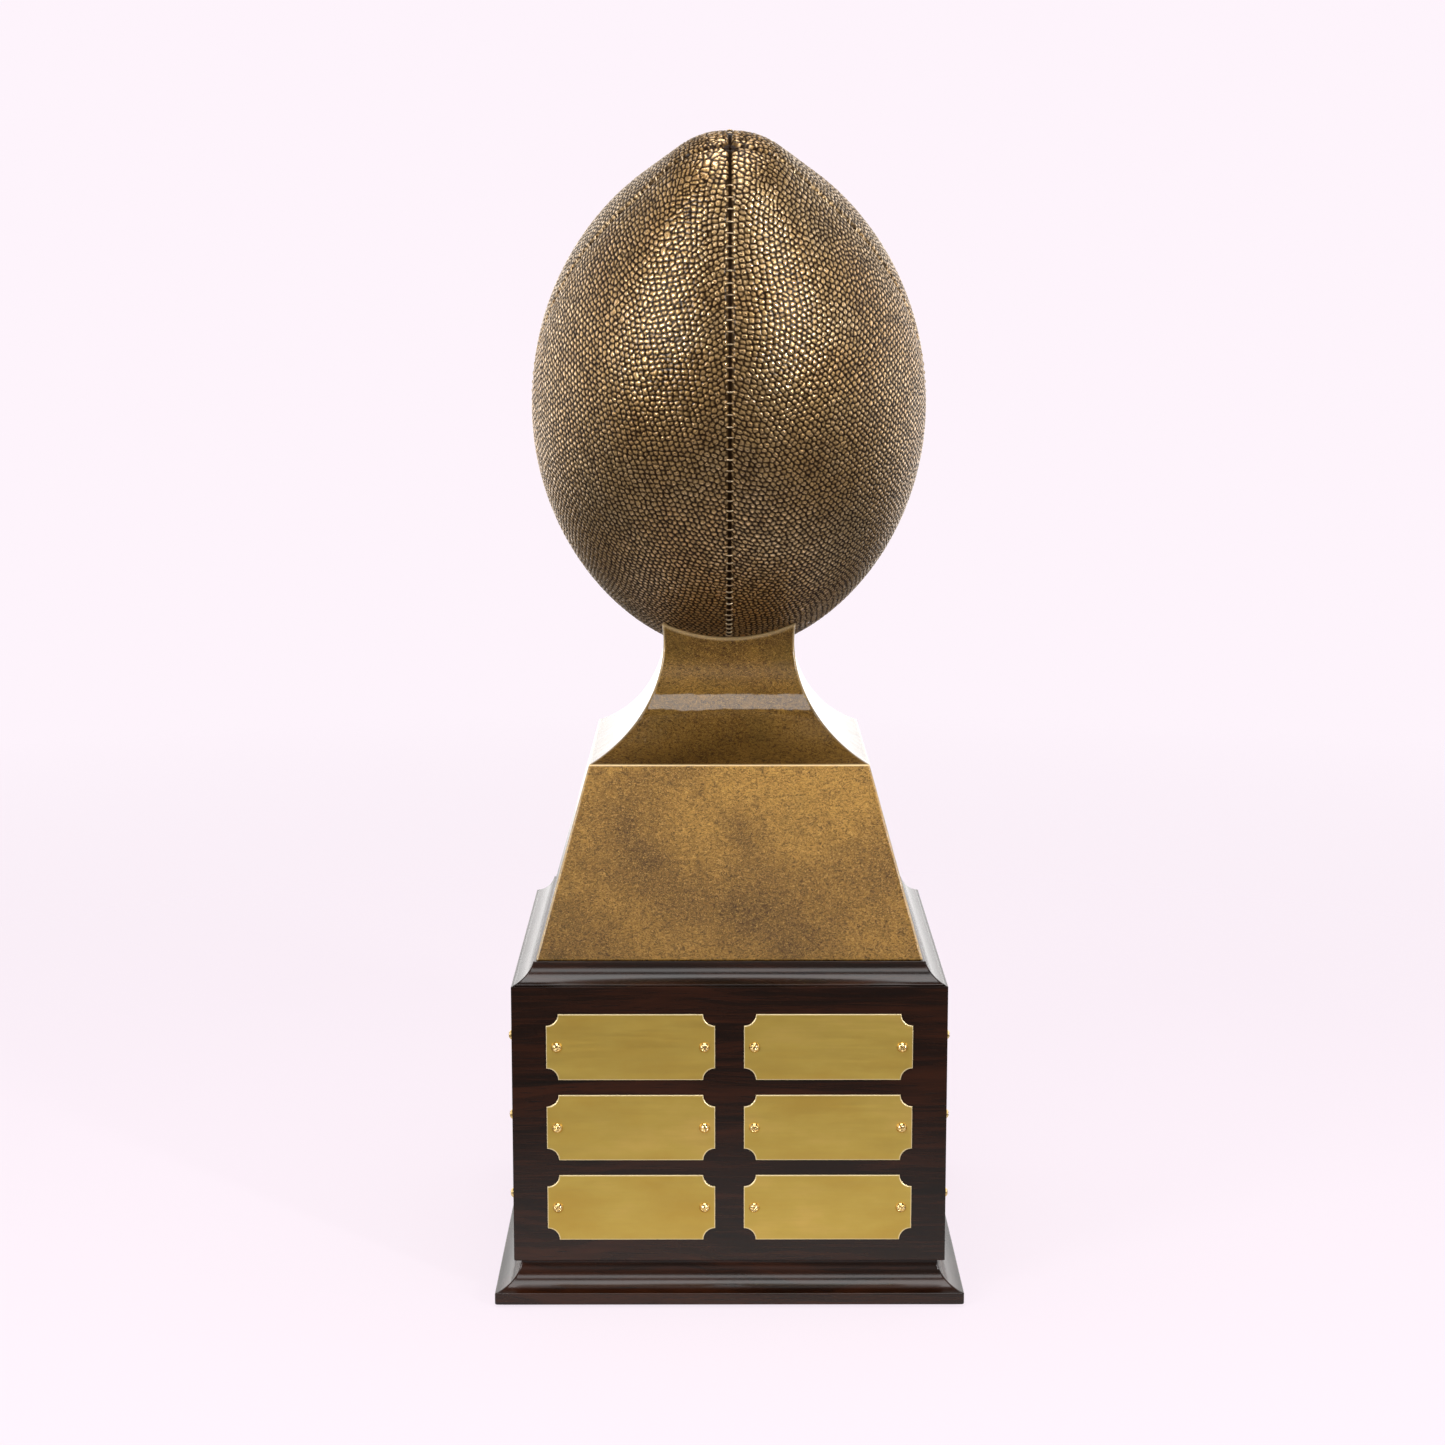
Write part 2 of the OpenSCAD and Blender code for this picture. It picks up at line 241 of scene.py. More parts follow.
TIP_C = BALL_LENGTH / 2 - TIP_R
SIDE_R = ((TIP_C * math.sin(SHOULDER) + TIP_R - BALL_DIA / 2 * math.cos(SHOULDER))
          / (1 - math.cos(SHOULDER)))
SIDE_ARC = SIDE_R * SHOULDER
SHOULDER_T = SIDE_R * math.sin(SHOULDER)
SHOULDER_R = SIDE_R * math.cos(SHOULDER) - (SIDE_R - BALL_DIA / 2)
SHOULDER_ARC = (SIDE_ARC
                + (TIP_C + TIP_R * math.sin(SHOULDER) - SHOULDER_T) / math.cos(SHOULDER))
HALF_ARC = SHOULDER_ARC + TIP_R * (math.pi / 2 - SHOULDER)


def ball_line(s):
    """Radius, place along the axis and outward normal (radial, axial) at arc length s."""
    a, sign = np.abs(s), np.where(s < 0, -1.0, 1.0)
    turn = np.where(a < SIDE_ARC, a / SIDE_R, SHOULDER)
    turn = np.where(a > SHOULDER_ARC, SHOULDER + (a - SHOULDER_ARC) / TIP_R, turn)
    slope = np.clip(a - SIDE_ARC, 0, SHOULDER_ARC - SIDE_ARC)
    on_side = a < SHOULDER_ARC
    side_turn = np.minimum(turn, SHOULDER)
    side_radius = (SIDE_R * np.cos(side_turn) - (SIDE_R - BALL_DIA / 2)
                   - slope * math.sin(SHOULDER))
    side_along = SIDE_R * np.sin(side_turn) + slope * math.cos(SHOULDER)
    radius = np.where(on_side, side_radius, TIP_R * np.cos(turn))
    along = np.where(on_side, side_along, TIP_C + TIP_R * np.sin(turn))
    return np.maximum(radius, 0), sign * along, np.cos(turn), sign * np.sin(turn)


def on_ball(s, phi, lift=0.0):
    """Point at arc length s and azimuth phi (0 in front, 90 degrees right), raised by lift."""
    radius, along, out, up = ball_line(np.asarray(s, float))
    radius, along = radius + lift * out, along + lift * up
    return (BALL_CENTRE + along[..., None] * BALL_AXIS
            + (radius * np.cos(phi))[..., None] * BALL_FRONT
            + (radius * np.sin(phi))[..., None] * BALL_SIDE)


def ball_distance(points):
    """Distance of points from the football's surface, negative inside."""
    d = points - BALL_CENTRE
    t = np.abs(d @ BALL_AXIS)
    r = np.linalg.norm(d - (d @ BALL_AXIS)[:, None] * BALL_AXIS, axis=1)
    side = np.hypot(r + (SIDE_R - BALL_DIA / 2), t) - SIDE_R
    straight = (r - SHOULDER_R) * math.cos(SHOULDER) + (t - SHOULDER_T) * math.sin(SHOULDER)
    tip = np.hypot(r, t - TIP_C) - TIP_R
    angle = np.arctan2(t, r + (SIDE_R - BALL_DIA / 2))
    tip_angle = np.arctan2(t - TIP_C, r)
    return np.where(angle < SHOULDER, side, np.where(tip_angle > SHOULDER, tip, straight))


# ---------------------------------------------------------------- materials

class Nodes:
    """Short names for the shader nodes that the materials below are made of."""

    def __init__(self, name):
        self.material = bpy.data.materials.new(name)
        self.material.use_nodes = True
        self.tree = self.material.node_tree
        self.shader = self.tree.nodes["Principled BSDF"]
        self.place = self.add("ShaderNodeTexCoord").outputs["Object"]

    def add(self, kind, **settings):
        node = self.tree.nodes.new(kind)
        for key, value in settings.items():
            setattr(node, key, value)
        return node

    def put(self, value, socket):
        """Links a socket to another node's, or sets its value."""
        if isinstance(value, bpy.types.NodeSocket):
            self.tree.links.new(value, socket)
        else:
            socket.default_value = value

    def set(self, **values):
        """Sets the shader's own sockets, such as Base_Color or Roughness."""
        for key, value in values.items():
            self.put(value, self.shader.inputs[key.replace("_", " ")])

    def stretched(self, scale):
        """The place on the piece, scaled along x, y and z."""
        node = self.add("ShaderNodeMapping")
        self.put(self.place, node.inputs["Vector"])
        node.inputs["Scale"].default_value = scale
        return node.outputs[0]

    def noise(self, scale, detail=4.0, rough=0.55, vector=None, distort=0.0):
        node = self.add("ShaderNodeTexNoise")
        self.put(vector or self.place, node.inputs["Vector"])
        node.inputs["Scale"].default_value = scale
        node.inputs["Detail"].default_value = detail
        node.inputs["Roughness"].default_value = rough
        node.inputs["Distortion"].default_value = distort
        return node.outputs[0]

    def attribute(self, name):
        return self.add("ShaderNodeAttribute", attribute_name=name).outputs["Fac"]

    def ramp(self, value, stops):
        """A colour for a value; stops are (place, colour)."""
        node = self.add("ShaderNodeValToRGB")
        band = node.color_ramp
        while len(band.elements) < len(stops):
            band.elements.new(0.5)
        for element, (at, colour) in zip(band.elements, stops):
            element.position = at
            element.color = (*colour, 1)
        self.put(value, node.inputs[0])
        return node.outputs[0]

    def span(self, value, low, high, to_low=0.0, to_high=1.0):
        """The value, taken from the range low..high to the range to_low..to_high."""
        node = self.add("ShaderNodeMapRange", clamp=True)
        for socket, item in zip(node.inputs, (value, low, high, to_low, to_high)):
            self.put(item, socket)
        return node.outputs[0]

    def math(self, operation, a, b):
        node = self.add("ShaderNodeMath", operation=operation)
        self.put(a, node.inputs[0])
        self.put(b, node.inputs[1])
        return node.outputs[0]

    def mix(self, share, a, b, blend="MIX"):
        node = self.add("ShaderNodeMix", data_type="RGBA", blend_type=blend)
        self.put(share, node.inputs["Factor"])
        for value, socket in ((a, node.inputs[6]), (b, node.inputs[7])):
            self.put((*value, 1) if isinstance(value, tuple) else value, socket)
        return node.outputs[2]

    def bump(self, height, distance, strength):
        node = self.add("ShaderNodeBump")
        self.put(height, node.inputs["Height"])
        node.inputs["Distance"].default_value = distance
        node.inputs["Strength"].default_value = strength
        return node.outputs[0]


def football_gold():
    """Cast bronze gold: bright pebble tops, dark brown between them, and blotchy tarnish."""
    n = Nodes("football_gold")
    cavity, tone = n.attribute("cavity"), n.attribute("tone")
    blotch = n.noise(24, 5, 0.6)
    gold = n.ramp(blotch, [(0.30, (0.56, 0.31, 0.11)), (0.48, (0.80, 0.50, 0.22)),
                           (0.68, (0.90, 0.64, 0.35))])
    gold = n.mix(n.span(tone, 0.0, 1.0, 0.0, 0.5), gold, (1.0, 0.64, 0.25))
    gold = n.mix(n.span(n.noise(75, 4, 0.6), 0.54, 0.74, 0.0, 0.4), gold, (0.40, 0.20, 0.07))
    dirt = n.math("MAXIMUM", cavity, n.span(n.noise(420, 3, 0.6), 0.64, 0.76, 0.0, 0.25))
    n.set(Base_Color=n.mix(dirt, gold, (0.022, 0.010, 0.0035)))
    n.set(Metallic=n.span(cavity, 0.0, 1.0, 0.97, 0.92))
    n.set(Roughness=n.math("ADD", n.span(cavity, 0.0, 1.0, 0.16, 0.7),
                           n.span(blotch, 0.3, 0.7, 0.10, -0.04)))
    n.set(Coat_Weight=n.span(cavity, 0.0, 1.0, 1.0, 0.1), Coat_Roughness=0.14, Coat_IOR=1.6)
    n.set(Specular_IOR_Level=0.2)
    n.set(Normal=n.bump(n.noise(900, 4, 0.6), 0.00012, 0.6))
    return n.material


def stitch_gold():
    """The ball's gold on stitches and laces: duller, worn brighter in places."""
    n = Nodes("stitch_gold")
    wear = n.noise(160, 5, 0.6)
    n.set(Base_Color=n.ramp(wear, [(0.32, (0.24, 0.15, 0.08)), (0.58, (0.52, 0.39, 0.24)),
                                   (0.75, (0.68, 0.54, 0.36))]))
    n.set(Metallic=0.9, Roughness=n.span(wear, 0.3, 0.7, 0.42, 0.26))
    n.set(Normal=n.bump(n.noise(1400, 3, 0.6), 0.0001, 0.5))
    return n.material


def pedestal_gold():
    """Gold leaf under clear lacquer: short fibres, brown blotches, a painted highlight at the edges
    and painted shade on the neck and cove.
    """
    n = Nodes("pedestal_gold")
    n.set(Coat_Weight=1.0, Coat_Roughness=0.04)
    turned = n.noise(24, 3, 0.5)
    fibre = n.noise(340, 7, 0.78, n.stretched((1.0, 1.0, 1.7)), 2.8)
    fine = n.noise(1150, 4, 0.8, n.stretched((1.0, 1.0, 1.3)), 1.6)
    cloud = n.noise(17, 6, 0.62)
    gold = n.ramp(cloud, [(0.34, (0.122, 0.057, 0.009)), (0.47, (0.258, 0.130, 0.022)),
                          (0.58, (0.400, 0.211, 0.038))])
    gold = n.mix(n.span(fibre, 0.42, 0.56, 0.85, 0.0), gold, (0.045, 0.020, 0.004))
    gold = n.mix(n.span(fine, 0.52, 0.62, 0.0, 0.75), gold, (0.62, 0.355, 0.080))
    gold = n.mix(n.span(turned, 0.56, 0.70, 0.0, 0.35), gold, (0.15, 0.10, 0.022))
    # Painted shade: the neck and cove, which the football shades, are multiplied darker, and the
    # leaf darkens a little towards the foot
    gold = n.mix(n.attribute("painted_shade_and_foot_dark"), gold, (0.32, 0.29, 0.24), "MULTIPLY")
    # Painted highlight, partly rubbed leaf: bright gold painted on the ridge, the upright arrises
    # and the joint with the football
    gold = n.mix(n.attribute("edge"), gold, (1.0, 0.76, 0.42))
    n.set(Base_Color=gold, Metallic=0.85)
    n.set(Roughness=n.span(fibre, 0.3, 0.7, 0.60, 0.45))
    height = n.math("ADD", n.math("MULTIPLY", fibre, 0.6), n.math("MULTIPLY", fine, 0.4))
    n.set(Normal=n.bump(height, 0.0003, 0.6))
    n.put(n.bump(n.noise(70, 3, 0.5), 0.0006, 0.25), n.shader.inputs["Coat Normal"])
    return n.material


def dark_veneer():
    """Dark stained walnut under satin lacquer, with the grain running level round the box."""
    n = Nodes("dark_veneer")
    wander = n.noise(9, 3, 0.5, n.stretched((0.6, 0.6, 2.2)))
    lifted = n.add("ShaderNodeVectorMath", operation="ADD")
    n.put(n.stretched((0.05, 0.05, 1.0)), lifted.inputs[0])
    shift = n.add("ShaderNodeCombineXYZ")
    n.put(n.span(wander, 0.0, 1.0, 0.0, 0.05), shift.inputs["Z"])
    n.put(shift.outputs[0], lifted.inputs[1])
    figure = n.noise(150, 4, 0.6, lifted.outputs[0])
    streak = n.noise(520, 5, 0.65, n.stretched((0.045, 0.045, 1.0)))
    pores = n.noise(1500, 2, 0.5, n.stretched((0.05, 0.05, 1.0)))
    wood = n.ramp(figure, [(0.36, (0.004, 0.0014, 0.0005)), (0.50, (0.009, 0.0026, 0.0009)),
                           (0.64, (0.024, 0.0062, 0.0021))])
    wood = n.mix(n.span(streak, 0.48, 0.70, 0.0, 0.65), wood, (0.030, 0.0082, 0.0030))
    wood = n.mix(n.span(pores, 0.60, 0.70, 0.0, 0.7), wood, (0.006, 0.003, 0.002))
    n.set(Base_Color=wood, Roughness=n.span(streak, 0.3, 0.7, 0.44, 0.34), IOR=1.5)
    n.set(Coat_Weight=0.72, Coat_Roughness=0.17, Specular_IOR_Level=0.05)
    n.set(Normal=n.bump(n.math("ADD", streak, pores), 0.00005, 0.35))
    return n.material


def raw_wood():
    """Plain softwood of the glue blocks, with upright grain."""
    n = Nodes("raw_wood")
    grain = n.noise(300, 5, 0.6, n.stretched((1.0, 1.0, 0.06)))
    n.set(Base_Color=n.ramp(grain, [(0.3, (0.36, 0.22, 0.11)), (0.7, (0.62, 0.43, 0.25))]))
    n.set(Roughness=n.span(grain, 0.3, 0.7, 0.7, 0.55), Normal=n.bump(grain, 0.0002, 0.4))
    return n.material


def plate_brass():
    """Satin brass with a level brush, and bright edges that are a painted highlight."""
    n = Nodes("plate_brass")
    brush = n.noise(900, 4, 0.7, n.stretched((0.05, 0.05, 1.0)))
    cloud = n.noise(60, 4, 0.55, n.stretched((0.5, 0.5, 1.0)))
    brass = n.ramp(cloud, [(0.32, (0.49, 0.315, 0.060)), (0.55, (0.53, 0.365, 0.078)),
                           (0.72, (0.59, 0.390, 0.097))])
    brass = n.mix(n.span(brush, 0.40, 0.66, 0.0, 0.22), brass, (0.44, 0.29, 0.07))
    # Painted highlight: the chamfer rows are painted a lighter brass
    brass = n.mix(n.attribute("edge"), brass, (0.86, 0.70, 0.40))
    n.set(Base_Color=brass, Metallic=0.7)
    n.set(Roughness=n.span(brush, 0.3, 0.7, 0.46, 0.36))
    n.set(Normal=n.bump(brush, 0.00003, 0.5))
    return n.material


def screw_brass():
    """Polished brass of the plate screws."""
    n = Nodes("screw_brass")
    wear = n.noise(700, 4, 0.6)
    n.set(Base_Color=n.ramp(wear, [(0.35, (0.74, 0.50, 0.19)), (0.65, (0.92, 0.70, 0.34))]))
    n.set(Metallic=1.0, Roughness=n.span(wear, 0.3, 0.7, 0.26, 0.15))
    n.set(Normal=n.bump(wear, 0.00005, 0.4))
    return n.material


def plated_steel():
    """Zinc plated steel of the rod, nut, washer and wood screws."""
    n = Nodes("plated_steel")
    wear = n.noise(500, 4, 0.6)
    n.set(Base_Color=n.ramp(wear, [(0.3, (0.42, 0.42, 0.43)), (0.7, (0.62, 0.62, 0.64))]))
    n.set(Metallic=1.0, Roughness=n.span(wear, 0.3, 0.7, 0.38, 0.24))
    n.set(Normal=n.bump(wear, 0.00005, 0.4))
    return n.material


def green_felt():
    """Dark green felt under the bottom board."""
    n = Nodes("green_felt")
    fuzz = n.noise(1600, 5, 0.75)
    n.set(Base_Color=n.ramp(fuzz, [(0.3, (0.006, 0.022, 0.014)), (0.7, (0.020, 0.062, 0.038))]))
    n.set(Roughness=n.span(fuzz, 0.3, 0.7, 1.0, 0.85), Sheen_Weight=0.5)
    n.set(Normal=n.bump(fuzz, 0.0004, 0.8))
    return n.material


# ---------------------------------------------------------------- football

class Pebbles:
    """Seeds of one panel's pebbles, in wavy rows, and how points lie among them."""
    PAD = 6  # rows and columns of seeds past the panel's own
    MERGE = 0.9 * MM  # seeds closer than this count as one
    JITTER_ROW, JITTER_COLUMN = 0.30, 0.24
    LEAST_R = 1 * MM  # the football is treated as no thinner than this at its tips

    def __init__(self, middle, seed):
        self.middle = middle
        draw = np.random.default_rng(seed)
        self.phase = draw.uniform(0, 2 * math.pi, 4)
        self.rows = int(HALF_ARC / PEBBLE_ROW) + self.PAD
        self.columns = int(BALL_DIA * math.pi / 8 / PEBBLE_PITCH) + self.PAD + 4
        shape = (2 * self.rows + 1, 2 * self.columns + 1)
        j, i = np.meshgrid(np.arange(-self.rows, self.rows + 1),
                           np.arange(-self.columns, self.columns + 1), indexing="ij")
        jitter = draw.uniform(-1, 1, (*shape, 2))
        self.tone = draw.uniform(0, 1, shape)
        s = j * PEBBLE_ROW
        width = self.width(s)
        phi = (i + 0.5 * (j % 2)) * PEBBLE_PITCH / width
        drift_s, drift_u = self.drift(phi, s)
        s = s + drift_s + self.JITTER_ROW * PEBBLE_ROW * jitter[..., 0]
        s = np.clip(s, -HALF_ARC, HALF_ARC)
        phi = phi + (drift_u + self.JITTER_COLUMN * PEBBLE_PITCH * jitter[..., 1]) / width
        self.seeds = on_ball(s, phi + self.middle)

    def width(self, s):
        """The football's radius at arc length s."""
        return np.maximum(ball_line(np.clip(s, -HALF_ARC, HALF_ARC))[0], self.LEAST_R)

    def drift(self, phi, s):
        """How far the rows wander: along the football and across it."""
        u = phi * BALL_DIA / 2
        a, b, c, d = self.phase
        along = (3.0 * MM * np.sin(u / (15 * MM) + a)
                 + 1.2 * MM * np.sin(u / (9 * MM) + s / (60 * MM) + b))
        across = (2.4 * MM * np.sin(s / (17 * MM) + c)
                  + 1.0 * MM * np.sin(s / (10 * MM) + u / (60 * MM) + d))
        return along, across

    def nearest(self, s, phi, points):
        """Distance to the nearest seed, distance to the border of its pebble, and its tone."""
        phi = phi - self.middle
        drift_s, drift_u = self.drift(phi, s)
        row = np.rint((s - drift_s) / PEBBLE_ROW).astype(int)
        phi = phi - drift_u / self.width(s)
        first = np.full(len(s), 1.0)
        second = first.copy()
        first_at, second_at = np.zeros_like(points), np.ones_like(points)
        tone = np.zeros(len(s))
        for dj in range(-2, 3):
            j = np.clip(row + dj, -self.rows, self.rows)
            place = phi * self.width(j * PEBBLE_ROW) / PEBBLE_PITCH
            column = np.rint(place - 0.5 * (j % 2)).astype(int)
            for di in range(-2, 3):
                i = np.clip(column + di, -self.columns, self.columns)
                at = (j + self.rows, i + self.columns)
                seed = self.seeds[at]
                distance = np.linalg.norm(points - seed, axis=1)
                closer = distance < first
                apart = np.linalg.norm(seed - first_at, axis=1) > self.MERGE
                runner_up = ~closer & apart & (distance < second)
                moved = closer & apart
                second = np.where(moved, first, np.where(runner_up, distance, second))
                second_at = np.where(runner_up[:, None], seed, second_at)
                second_at = np.where(moved[:, None], first_at, second_at)
                tone = np.where(closer, self.tone[at], tone)
                first = np.where(closer, distance, first)
                first_at = np.where(closer[:, None], seed, first_at)
        between = np.maximum(np.linalg.norm(second_at - first_at, axis=1), self.MERGE)
        return first, (second ** 2 - first ** 2) / (2 * between), tone


def panel_rows():
    """Arc length and number of points of each row of a panel, with points as far apart as rows."""
    area = math.pi * HALF_ARC * ball_line(np.linspace(-HALF_ARC, HALF_ARC, 400))[0].mean()
    step = math.sqrt(2 * area / PANEL_TRIANGLES)
    end = HALF_ARC - 0.7 * MM
    rows = np.linspace(-end, end, int(2 * HALF_ARC / step))
    counts = np.maximum(2, np.rint(ball_line(rows)[0] * math.pi / 2 / step).astype(int)) + 1
    return rows, counts


def zip_rows(start_a, count_a, start_b, count_b):
    """Triangles between two rows that have different numbers of evenly spaced points."""
    faces, i, j = [], 0, 0
    while i < count_a - 1 or j < count_b - 1:
        next_a = (i + 1) / (count_a - 1) if i < count_a - 1 else 2
        next_b = (j + 1) / (count_b - 1) if j < count_b - 1 else 2
        if next_a <= next_b:
            faces.append((start_a + i, start_a + i + 1, start_b + j))
            i += 1
        else:
            faces.append((start_a + i, start_b + j + 1, start_b + j))
            j += 1
    return faces


def panel_frame():
    """Places and faces that all four panels share: a fine skin, a coarse lining and the rims."""
    rows, counts = panel_rows()
    starts = np.concatenate([[0], np.cumsum(counts)])
    s = np.repeat(rows, counts)
    share = np.concatenate([np.linspace(0, 1, c) for c in counts])
    faces = []
    for k in range(len(rows) - 1):
        faces += zip_rows(starts[k], counts[k], starts[k + 1], counts[k + 1])
    lining = LINING_COLUMNS
    inner = starts[-1]
    for a, b, c, d in grid_faces(len(rows), lining, inner):
        faces.append((a, d, c, b))
    for k in range(len(rows) - 1):
        left, left_in = starts[k], inner + k * lining
        left2, left2_in = starts[k + 1], left_in + lining
        faces.append((left, left2, left2_in, left_in))
        right, right2 = starts[k + 1] - 1, starts[k + 2] - 1
        faces.append((right, left_in + lining - 1, left2_in + lining - 1, right2))
    for k, flip in ((0, False), (len(rows) - 1, True)):
        skin = list(range(starts[k], starts[k + 1]))
        loop = skin + list(range(inner + k * lining, inner + (k + 1) * lining))[::-1]
        faces.append(tuple(loop if flip else loop[::-1]))
    inner_s = np.repeat(rows, lining)
    inner_share = np.tile(np.linspace(0, 1, lining), len(rows))
    return s, share, inner_s, inner_share, faces


def football_panel(name, quarter, shape, material):
    """One leather-like panel between two seams, as a closed shell with every pebble in its mesh."""
    s, share, inner_s, inner_share, faces = shape
    low = quarter * math.pi / 2
    phi = low + share * math.pi / 2
    pebbles = Pebbles(low + math.pi / 4, 11 + quarter)
    first, border, tone = pebbles.nearest(s, phi, on_ball(s, phi))
    to_seam = ball_line(s)[0] * np.minimum(phi - low, low + math.pi / 2 - phi)
    rise = 1 - (1 - np.clip(border / PEBBLE_SHOULDER, 0, 1)) ** 2.4
    # The seam is narrower near the tips, where it has no stitches, and ends in a small dark knot
    to_tip = HALF_ARC - np.abs(s)
    to_seam = to_seam * (1 + 0.25 * smoothstep(1.1 * STITCH_START, 0.7 * STITCH_START, to_tip))
    to_seam = np.minimum(to_seam, np.maximum(to_tip - TIP_KNOT, 0))
    pebbled = smoothstep(*PEBBLE_EDGE, to_seam)
    groove = 1 - smoothstep(GROOVE_FLAT, GROOVE_EDGE, to_seam)
    lift = (PEBBLE_H * (rise - 0.75) * pebbled - 0.25 * PEBBLE_H * (1 - pebbled)
            - GROOVE_DEPTH * groove - PILLOW_DEPTH * np.exp(-to_seam / PILLOW_REACH))
    cavity = np.maximum((1 - smoothstep(*PEBBLE_GAP, border)) * pebbled,
                        1 - smoothstep(*SEAM_DARK, to_seam))
    dimple = (tone > DIMPLE_TONE) * smoothstep(*DIMPLE_SPAN, first) * pebbled
    lift = lift - DIMPLE_DEPTH * dimple
    cavity = np.maximum(cavity, DIMPLE_DARK * dimple)
    inner_phi = low + inner_share * math.pi / 2
    points = np.vstack([on_ball(s, phi, lift), on_ball(inner_s, inner_phi, -PANEL_WALL)])
    blank = np.zeros(len(inner_s))
    attributes = {"cavity": np.concatenate([cavity, blank + 1]),
                  "tone": np.concatenate([tone, blank])}
    return add_mesh(name, points, faces, material, ["football_shell"], attributes)


def strap(s0, phi0, along, across, low, high, steps=10, around=10):
    """Points and faces of a rounded bar on the football. along and across are its half sizes;
    low and high are its heights over the surface at its ends and its middle."""
    crosswise = across >= along
    thick = 0.5 * (high - low)
    points = []
    for a in np.linspace(-1, 1, steps + 1):
        lift = low + (high - low) * (1 - abs(a) ** 2.4)
        for j in range(around):
            turn = 2 * math.pi * j / around
            wide, tall = math.cos(turn), math.sin(turn)
            side = min(along, across) * math.copysign(abs(wide) ** 0.8, wide)
            du, ds = (a * across, side) if crosswise else (side, a * along)
            points.append((s0 + ds, du, lift + thick * tall))
    s, u, lift = np.array(points).T
    radius = np.maximum(ball_line(np.full(1, s0))[0][0], 2 * MM)
    faces = grid_faces(steps + 1, around, closed=True)
    faces.append(tuple(range(around))[::-1])
    faces.append(tuple(steps * around + j for j in range(around)))
    return on_ball(s, phi0 + u / radius, lift), faces


def join(parts):
    """One list of points and faces from several."""
    points, faces, start = [], [], 0
    for more_points, more_faces in parts:
        points.append(more_points)
        faces += [tuple(start + v for v in face) for face in more_faces]
        start += len(more_points)
    return np.vstack(points), faces


def football_stitches(name, phi, material):
    """The cross stitches of one seam."""
    draw = np.random.default_rng(31 + int(round(phi * 10)))
    count = int(2 * (HALF_ARC - STITCH_START) / STITCH_PITCH)
    parts = []
    for k in range(count + 1):
        s = (k - count / 2) * STITCH_PITCH + draw.uniform(-0.18, 0.18) * MM
        half_length = draw.uniform(1.35, 1.6) * MM
        parts.append(strap(s, phi, STITCH_HALF, half_length, STITCH_LOW, STITCH_HIGH))
    points, faces = join(parts)
    return add_mesh(name, points, faces, material, ["football_shell"])


def football_laces(name, phi, material):
    """Eight cross laces over one long lace, on the seam that faces back."""
    parts = [strap(0.0, phi, 46 * MM, 2.2 * MM, -0.9 * MM, 0.9 * MM, steps=48)]
    for k in range(LACES):
        s = (k - (LACES - 1) / 2) * LACE_PITCH
        parts.append(strap(s, phi, 1.9 * MM, 12 * MM, -1.2 * MM, 2.2 * MM, steps=20, around=14))
    points, faces = join(parts)
    return add_mesh(name, points, faces, material, ["football_shell"])


# ---------------------------------------------------------------- pedestal

def pedestal_profile():
    """Line of (half width, height) from the foot up past the neck's joint, with soft arrises."""
    foot, ridge_z = PED_LOW[2], PED_LOW[2] + RIDGE_H
    centre_x = NECK_HALF + COVE_R * math.cos(NECK_TAPER)
    centre_z = ridge_z + math.sqrt(COVE_R ** 2 - (centre_x - RIDGE_HALF) ** 2)
    start = math.atan2(ridge_z - centre_z, RIDGE_HALF - centre_x)
    angles = np.linspace(start, -math.pi - NECK_TAPER, 72)
    cove = np.column_stack([centre_x + COVE_R * np.cos(angles),
                            centre_z + COVE_R * np.sin(angles)])
    points = [(PED_BASE - 6 * MM, foot), (PED_BASE, foot), *cove]
    radii = [0, 0.5 * MM, 0.3 * MM] + [0] * (len(cove) - 1)
    return supported(fillet(points, radii))


def lift_to_ball(points, offset):
    """The points, raised along z until they are offset away from the football's underside."""
    low = np.full(len(points), PED_LOW[2] + RIDGE_H)
    high = np.full(len(points), BALL_CENTRE[2])
    for _ in range(40):
        middle = (low + high) / 2
        outside = ball_distance(np.column_stack([points[:, :2], middle])) > offset
        low, high = np.where(outside, middle, low), np.where(outside, high, middle)
    return np.column_stack([points[:, :2], low])


